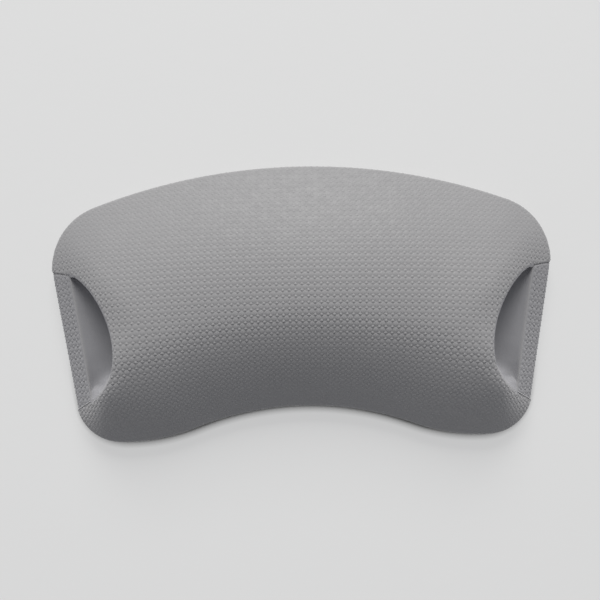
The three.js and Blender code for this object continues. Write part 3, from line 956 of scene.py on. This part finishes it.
def node_group(name, inputs, outputs):
    """An empty shader node group, its sockets given as names with their kinds."""
    group = bpy.data.node_groups.new(name, "ShaderNodeTree")
    for given, way in ((inputs, "INPUT"), (outputs, "OUTPUT")):
        for socket_name, kind in given.items():
            group.interface.new_socket(socket_name, in_out=way, socket_type=f"NodeSocket{kind}")
    return group, Tree(group)


class Tree:
    """A node tree with short ways to place a node and to join or set its inputs.

    Each way but node gives the new node's output.
    """

    def __init__(self, tree):
        self.tree = tree

    def node(self, kind, inputs=None, **settings):
        made = self.tree.nodes.new(kind)
        for key, value in settings.items():
            setattr(made, key, value)
        for key, value in (inputs or {}).items():
            if isinstance(value, bpy.types.NodeSocket):
                self.tree.links.new(value, made.inputs[key])
            else:
                made.inputs[key].default_value = value
        return made

    def math(self, operation, first, second=0.0, third=0.0):
        return self.node("ShaderNodeMath", {0: first, 1: second, 2: third}, operation=operation).outputs[0]

    def noise(self, vector, scale, detail=2.0, roughness=0.5):
        inputs = {"Vector": vector, "Scale": scale, "Detail": detail, "Roughness": roughness}
        return self.node("ShaderNodeTexNoise", inputs).outputs["Fac"]

    def ranged(self, value, low, high, to_low, to_high):
        inputs = {"Value": value, "From Min": low, "From Max": high, "To Min": to_low, "To Max": to_high}
        return self.node("ShaderNodeMapRange", inputs).outputs["Result"]

    def mixed(self, share, first, second, blend="MIX"):
        inputs = {0: share, 6: first, 7: second}
        return self.node("ShaderNodeMix", inputs, data_type="RGBA", blend_type=blend).outputs[2]

    def mixed_shader(self, share, first, second):
        return self.node("ShaderNodeMixShader", {0: share, 1: first, 2: second}).outputs[0]

    def attribute(self, name):
        return self.node("ShaderNodeAttribute", attribute_name=name).outputs["Fac"]

    def seen(self):
        """One for rays that show the background: the camera's own, and those of gloss and glass."""
        rays = self.node("ShaderNodeLightPath").outputs
        mirrored = self.math("MAXIMUM", rays["Is Glossy Ray"], rays["Is Transmission Ray"])
        return self.math("MAXIMUM", rays["Is Camera Ray"], mirrored)


def make_grain():
    """Height of a moulded surface's grain: fine pores, a softer grain and low flow waves, added up."""
    group, tree = node_group("moulded grain", {"Vector": "Vector", "Pores": "Float"}, {"Height": "Float"})
    start = tree.node("NodeGroupInput").outputs
    pores = tree.noise(start["Vector"], start["Pores"], 2.0, 0.6)
    medium = tree.noise(start["Vector"], tree.math("MULTIPLY", start["Pores"], 0.31), 1.0)
    waves = tree.noise(start["Vector"], 110.0)
    total = tree.math("ADD", tree.math("MULTIPLY", pores, 0.5), tree.math("MULTIPLY", medium, 0.35))
    total = tree.math("ADD", total, tree.math("MULTIPLY", waves, 0.9))
    tree.node("NodeGroupOutput", {"Height": total})
    return group


def make_tone():
    """Colour of a surface: mottled by broad noise, a little lighter on raised places and darker on the
    low places between them, with specks and a film of dust, whose amount is also put out as dulling."""
    inputs = {"Vector": "Vector", "Base": "Color"}
    inputs |= dict.fromkeys(("Mottle", "Raised", "Raised Lift", "Dust"), "Float")
    group, tree = node_group("surface tone", inputs, {"Color": "Color", "Dulling": "Float"})
    start = tree.node("NodeGroupInput").outputs
    broad = tree.noise(start["Vector"], 22.0, 3.0, 0.55)
    small = tree.noise(start["Vector"], 240.0, 3.0, 0.6)
    shade = tree.math("ADD", tree.math("MULTIPLY", broad, 0.65), tree.math("MULTIPLY", small, 0.35))
    shade = tree.math("MULTIPLY_ADD", tree.math("SUBTRACT", shade, 0.5), start["Mottle"], 1.0)
    # Raised places of the emboss a little lighter and the low places between them a little darker, by the
    # lift.
    raised_lift = tree.math("MULTIPLY", tree.math("SUBTRACT", start["Raised"], 0.3), start["Raised Lift"])
    shade = tree.math("MULTIPLY", shade, tree.math("ADD", raised_lift, 1.0))
    grey = tree.node("ShaderNodeCombineColor", {0: shade, 1: shade, 2: shade}).outputs[0]
    toned = tree.mixed(1.0, start["Base"], grey, "MULTIPLY")
    cells = tree.node("ShaderNodeTexVoronoi", {"Vector": start["Vector"], "Scale": 420.0, "Randomness": 1.0})
    speck = tree.ranged(cells.outputs["Distance"], 0.06, 0.13, 1.0, 0.0)
    rare = tree.noise(start["Vector"], 75.0, 1.0)
    speck = tree.math("MULTIPLY", speck, tree.ranged(rare, 0.56, 0.62, 0.0, 1.0))
    film = tree.ranged(broad, 0.45, 0.75, 0.0, 0.25)
    amount = tree.math("MULTIPLY", tree.math("MAXIMUM", speck, film), start["Dust"])
    dusty = tree.mixed(amount, toned, (0.52, 0.51, 0.49, 1))
    tree.node("NodeGroupOutput", {"Color": dusty, "Dulling": amount})
    return group


GRAIN = make_grain()
TONE = make_tone()


def shader_of(material):
    """The material's main shader."""
    return material.node_tree.nodes["Principled BSDF"]


def surface(name, base, roughness, spread, pores, depth, mottle, dust, specular=0.5, raised_lift=0.0, masks=False):
    """A material: toned colour, uneven roughness and a bump of the grain, all on Object coordinates.

    Roughness runs by a spread each way. Pores is the grain's scale, depth its bump in millimetres.
    With masks, the piece's own attributes change it: raised places are a little lighter and glossier,
    smooth ones get painted shade, cooler and darker, partly their own smooth finish, and the two parting
    lines get a sharp ridge and groove, the lower one with a painted highlight that lightens its flash.
    """
    made = bpy.data.materials.new(name)
    made.use_nodes = True
    tree = Tree(made.node_tree)
    shader = shader_of(made)
    shader.inputs["Specular IOR Level"].default_value = specular
    place = tree.node("ShaderNodeTexCoord").outputs["Object"]
    raised = tree.attribute("raised") if masks else 0.0
    inputs = {"Vector": place, "Base": (*base, 1), "Mottle": mottle, "Raised": raised, "Raised Lift": raised_lift}
    tone = tree.node("ShaderNodeGroup", inputs | {"Dust": dust}, node_tree=TONE).outputs
    grain = tree.node("ShaderNodeGroup", {"Vector": place, "Pores": pores}, node_tree=GRAIN)
    colour = tone["Color"]
    rough = tree.noise(place, pores * 0.12, 3.0)
    value = tree.ranged(rough, 0.3, 0.7, roughness - spread, roughness + spread)
    value = tree.math("ADD", value, tree.math("MULTIPLY", tone["Dulling"], 0.25))
    bump = {"Strength": 1.0, "Distance": depth * MM, "Height": grain.outputs["Height"]}
    normal = tree.node("ShaderNodeBump", bump).outputs["Normal"]
    if masks:
        value = tree.math("MULTIPLY_ADD", raised, -0.05, value)
        # Painted shade: smooth places, mostly the recessed scoops, are multiplied by a cool grey, partly
        # also for their own darker smooth finish.
        colour = tree.mixed(tree.attribute("smooth"), colour, (0.85, 0.854, 0.885, 1), "MULTIPLY")
        lines = [tree.math("ABSOLUTE", tree.attribute(key)) for key in ("lower_line", "upper_line")]
        lower, upper = (tree.ranged(distance, 0.05, 0.42, 1.0, 0.0) for distance in lines)
        # Painted highlight: the flash along the lower parting line is mixed towards a lighter grey.
        colour = tree.mixed(tree.math("MULTIPLY", lower, 0.3), colour, (0.55, 0.55, 0.56, 1))
        bump = {"Distance": 0.7 * MM, "Height": tree.math("SUBTRACT", lower, upper), "Normal": normal}
        normal = tree.node("ShaderNodeBump", bump).outputs["Normal"]
    for key, output in (("Base Color", colour), ("Roughness", value), ("Normal", normal)):
        made.node_tree.links.new(output, shader.inputs[key])
    return made


# Name, colour, roughness and its spread, scale of the pores, depth of their bump, mottle, dust, gloss,
# lift of raised places and whether the piece's own masks are used.
FINISHES = [
    ("embossed grey skin", (0.3295, 0.3255, 0.331), 0.6, 0.06, 2400.0, 0.12, 0.1, 0.16, 0.42, 0.03, True),
    ("smooth grey skin", (0.25, 0.25, 0.255), 0.52, 0.08, 1800.0, 0.1, 0.12, 0.3),
    ("open foam", (0.45, 0.44, 0.41), 0.95, 0.03, 900.0, 0.9, 0.16, 0.1),
    ("dark moulded plastic", (0.04, 0.043, 0.047), 0.48, 0.08, 1500.0, 0.04, 0.2, 0.12),
    ("natural white plastic", (0.68, 0.69, 0.7), 0.36, 0.07, 1500.0, 0.03, 0.05, 0.1),
    ("pale table", (0.735, 0.735, 0.732), 0.7, 0.05, 300.0, 0.05, 0.02, 0.0, 0.1),
]
skin, smooth_skin, foam, dark_plastic, white_plastic, table = (surface(*finish) for finish in FINISHES)
shader_of(skin).inputs["Diffuse Roughness"].default_value = 0.8
for piece, finish in ((front, skin), (back, smooth_skin), (core, foam)):
    piece.data.materials.append(finish)
for socket in sockets:
    socket.data.materials.append(white_plastic)
for material_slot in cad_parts["insert_plate"].material_slots:
    material_slot.material = dark_plastic

# Floor, light and camera.
bpy.ops.mesh.primitive_plane_add(size=12, location=(0, 0, -0.00005))
floor = bpy.context.object
floor.name = "table_top"
floor.data.materials.append(table)

# For rays that show the background, two thirds of the table's shade are an even one. Its contact shade
# follows how closed in it is within 6.5 mm: a soft ramp and a thin darker line, on the lower side only.
tree = Tree(table.node_tree)
even = tree.node("ShaderNodeEmission", {"Strength": 0.72}).outputs[0]
dark = tree.node("ShaderNodeEmission", {"Strength": 0.0}).outputs[0]
both = tree.mixed_shader(tree.math("MULTIPLY", tree.seen(), 0.68), shader_of(table).outputs[0], even)
place = tree.node("ShaderNodeTexCoord").outputs["Object"]
table_y = tree.node("ShaderNodeSeparateXYZ", {"Vector": place}).outputs["Y"]
lower_side = tree.ranged(table_y, -30 * MM, -58 * MM, 0.0, 1.0)
open_share = tree.node("ShaderNodeAmbientOcclusion", {"Distance": 6.5 * MM}).outputs["AO"]
ramp = tree.ranged(open_share, 0.63, 1.0, 0.76, 0.0)
line = tree.ranged(open_share, 0.69, 0.75, 0.3, 0.0)
contact = tree.math("MULTIPLY", tree.math("MINIMUM", tree.math("ADD", ramp, line), 0.88), lower_side)
output = table.node_tree.nodes["Material Output"].inputs["Surface"]
table.node_tree.links.new(tree.mixed_shader(contact, both, dark), output)

world = bpy.data.worlds.new("room")
bpy.context.scene.world = world
world.use_nodes = True
tree = Tree(world.node_tree)
fill = world.node_tree.nodes["Background"]
fill.inputs["Color"].default_value = (0.93, 0.95, 1, 1)
fill.inputs["Strength"].default_value = 0.34
backdrop = tree.node("ShaderNodeBackground", {"Color": (0.8, 0.8, 0.8, 1)}).outputs[0]
output = world.node_tree.nodes["World Output"].inputs["Surface"]
world.node_tree.links.new(tree.mixed_shader(tree.seen(), fill.outputs[0], backdrop), output)

lamp = bpy.data.lights.new("window_light", "AREA")
lamp.shape = "RECTANGLE"
lamp.size = 2.2
lamp.size_y = 1.35
lamp.energy = 136.0
lamp.color = (1, 0.995, 0.975)
lamp_object = placed("window_light", lamp)
rise = math.radians(29)
lamp_away = 3.2
lamp_object.location = (0, lamp_away * math.cos(rise), lamp_away * math.sin(rise))
lamp_object.rotation_euler = (-(math.pi / 2 - rise), 0, 0)

# The photograph's frame of 600 pixels, with its camera 512 pixels away.
camera = bpy.data.cameras.new("camera")
camera.sensor_width = 36
camera.lens = 36 * 512 / 600
camera.clip_start = 0.01
camera_object = placed("camera", camera)
camera_object.location = (-1.2 * MM, 1.3 * MM, 306.2 * MM)
camera_object.rotation_euler = (0, 0, math.radians(-1.3))
bpy.context.scene.camera = camera_object
bpy.context.scene.view_settings.view_transform = "Standard"
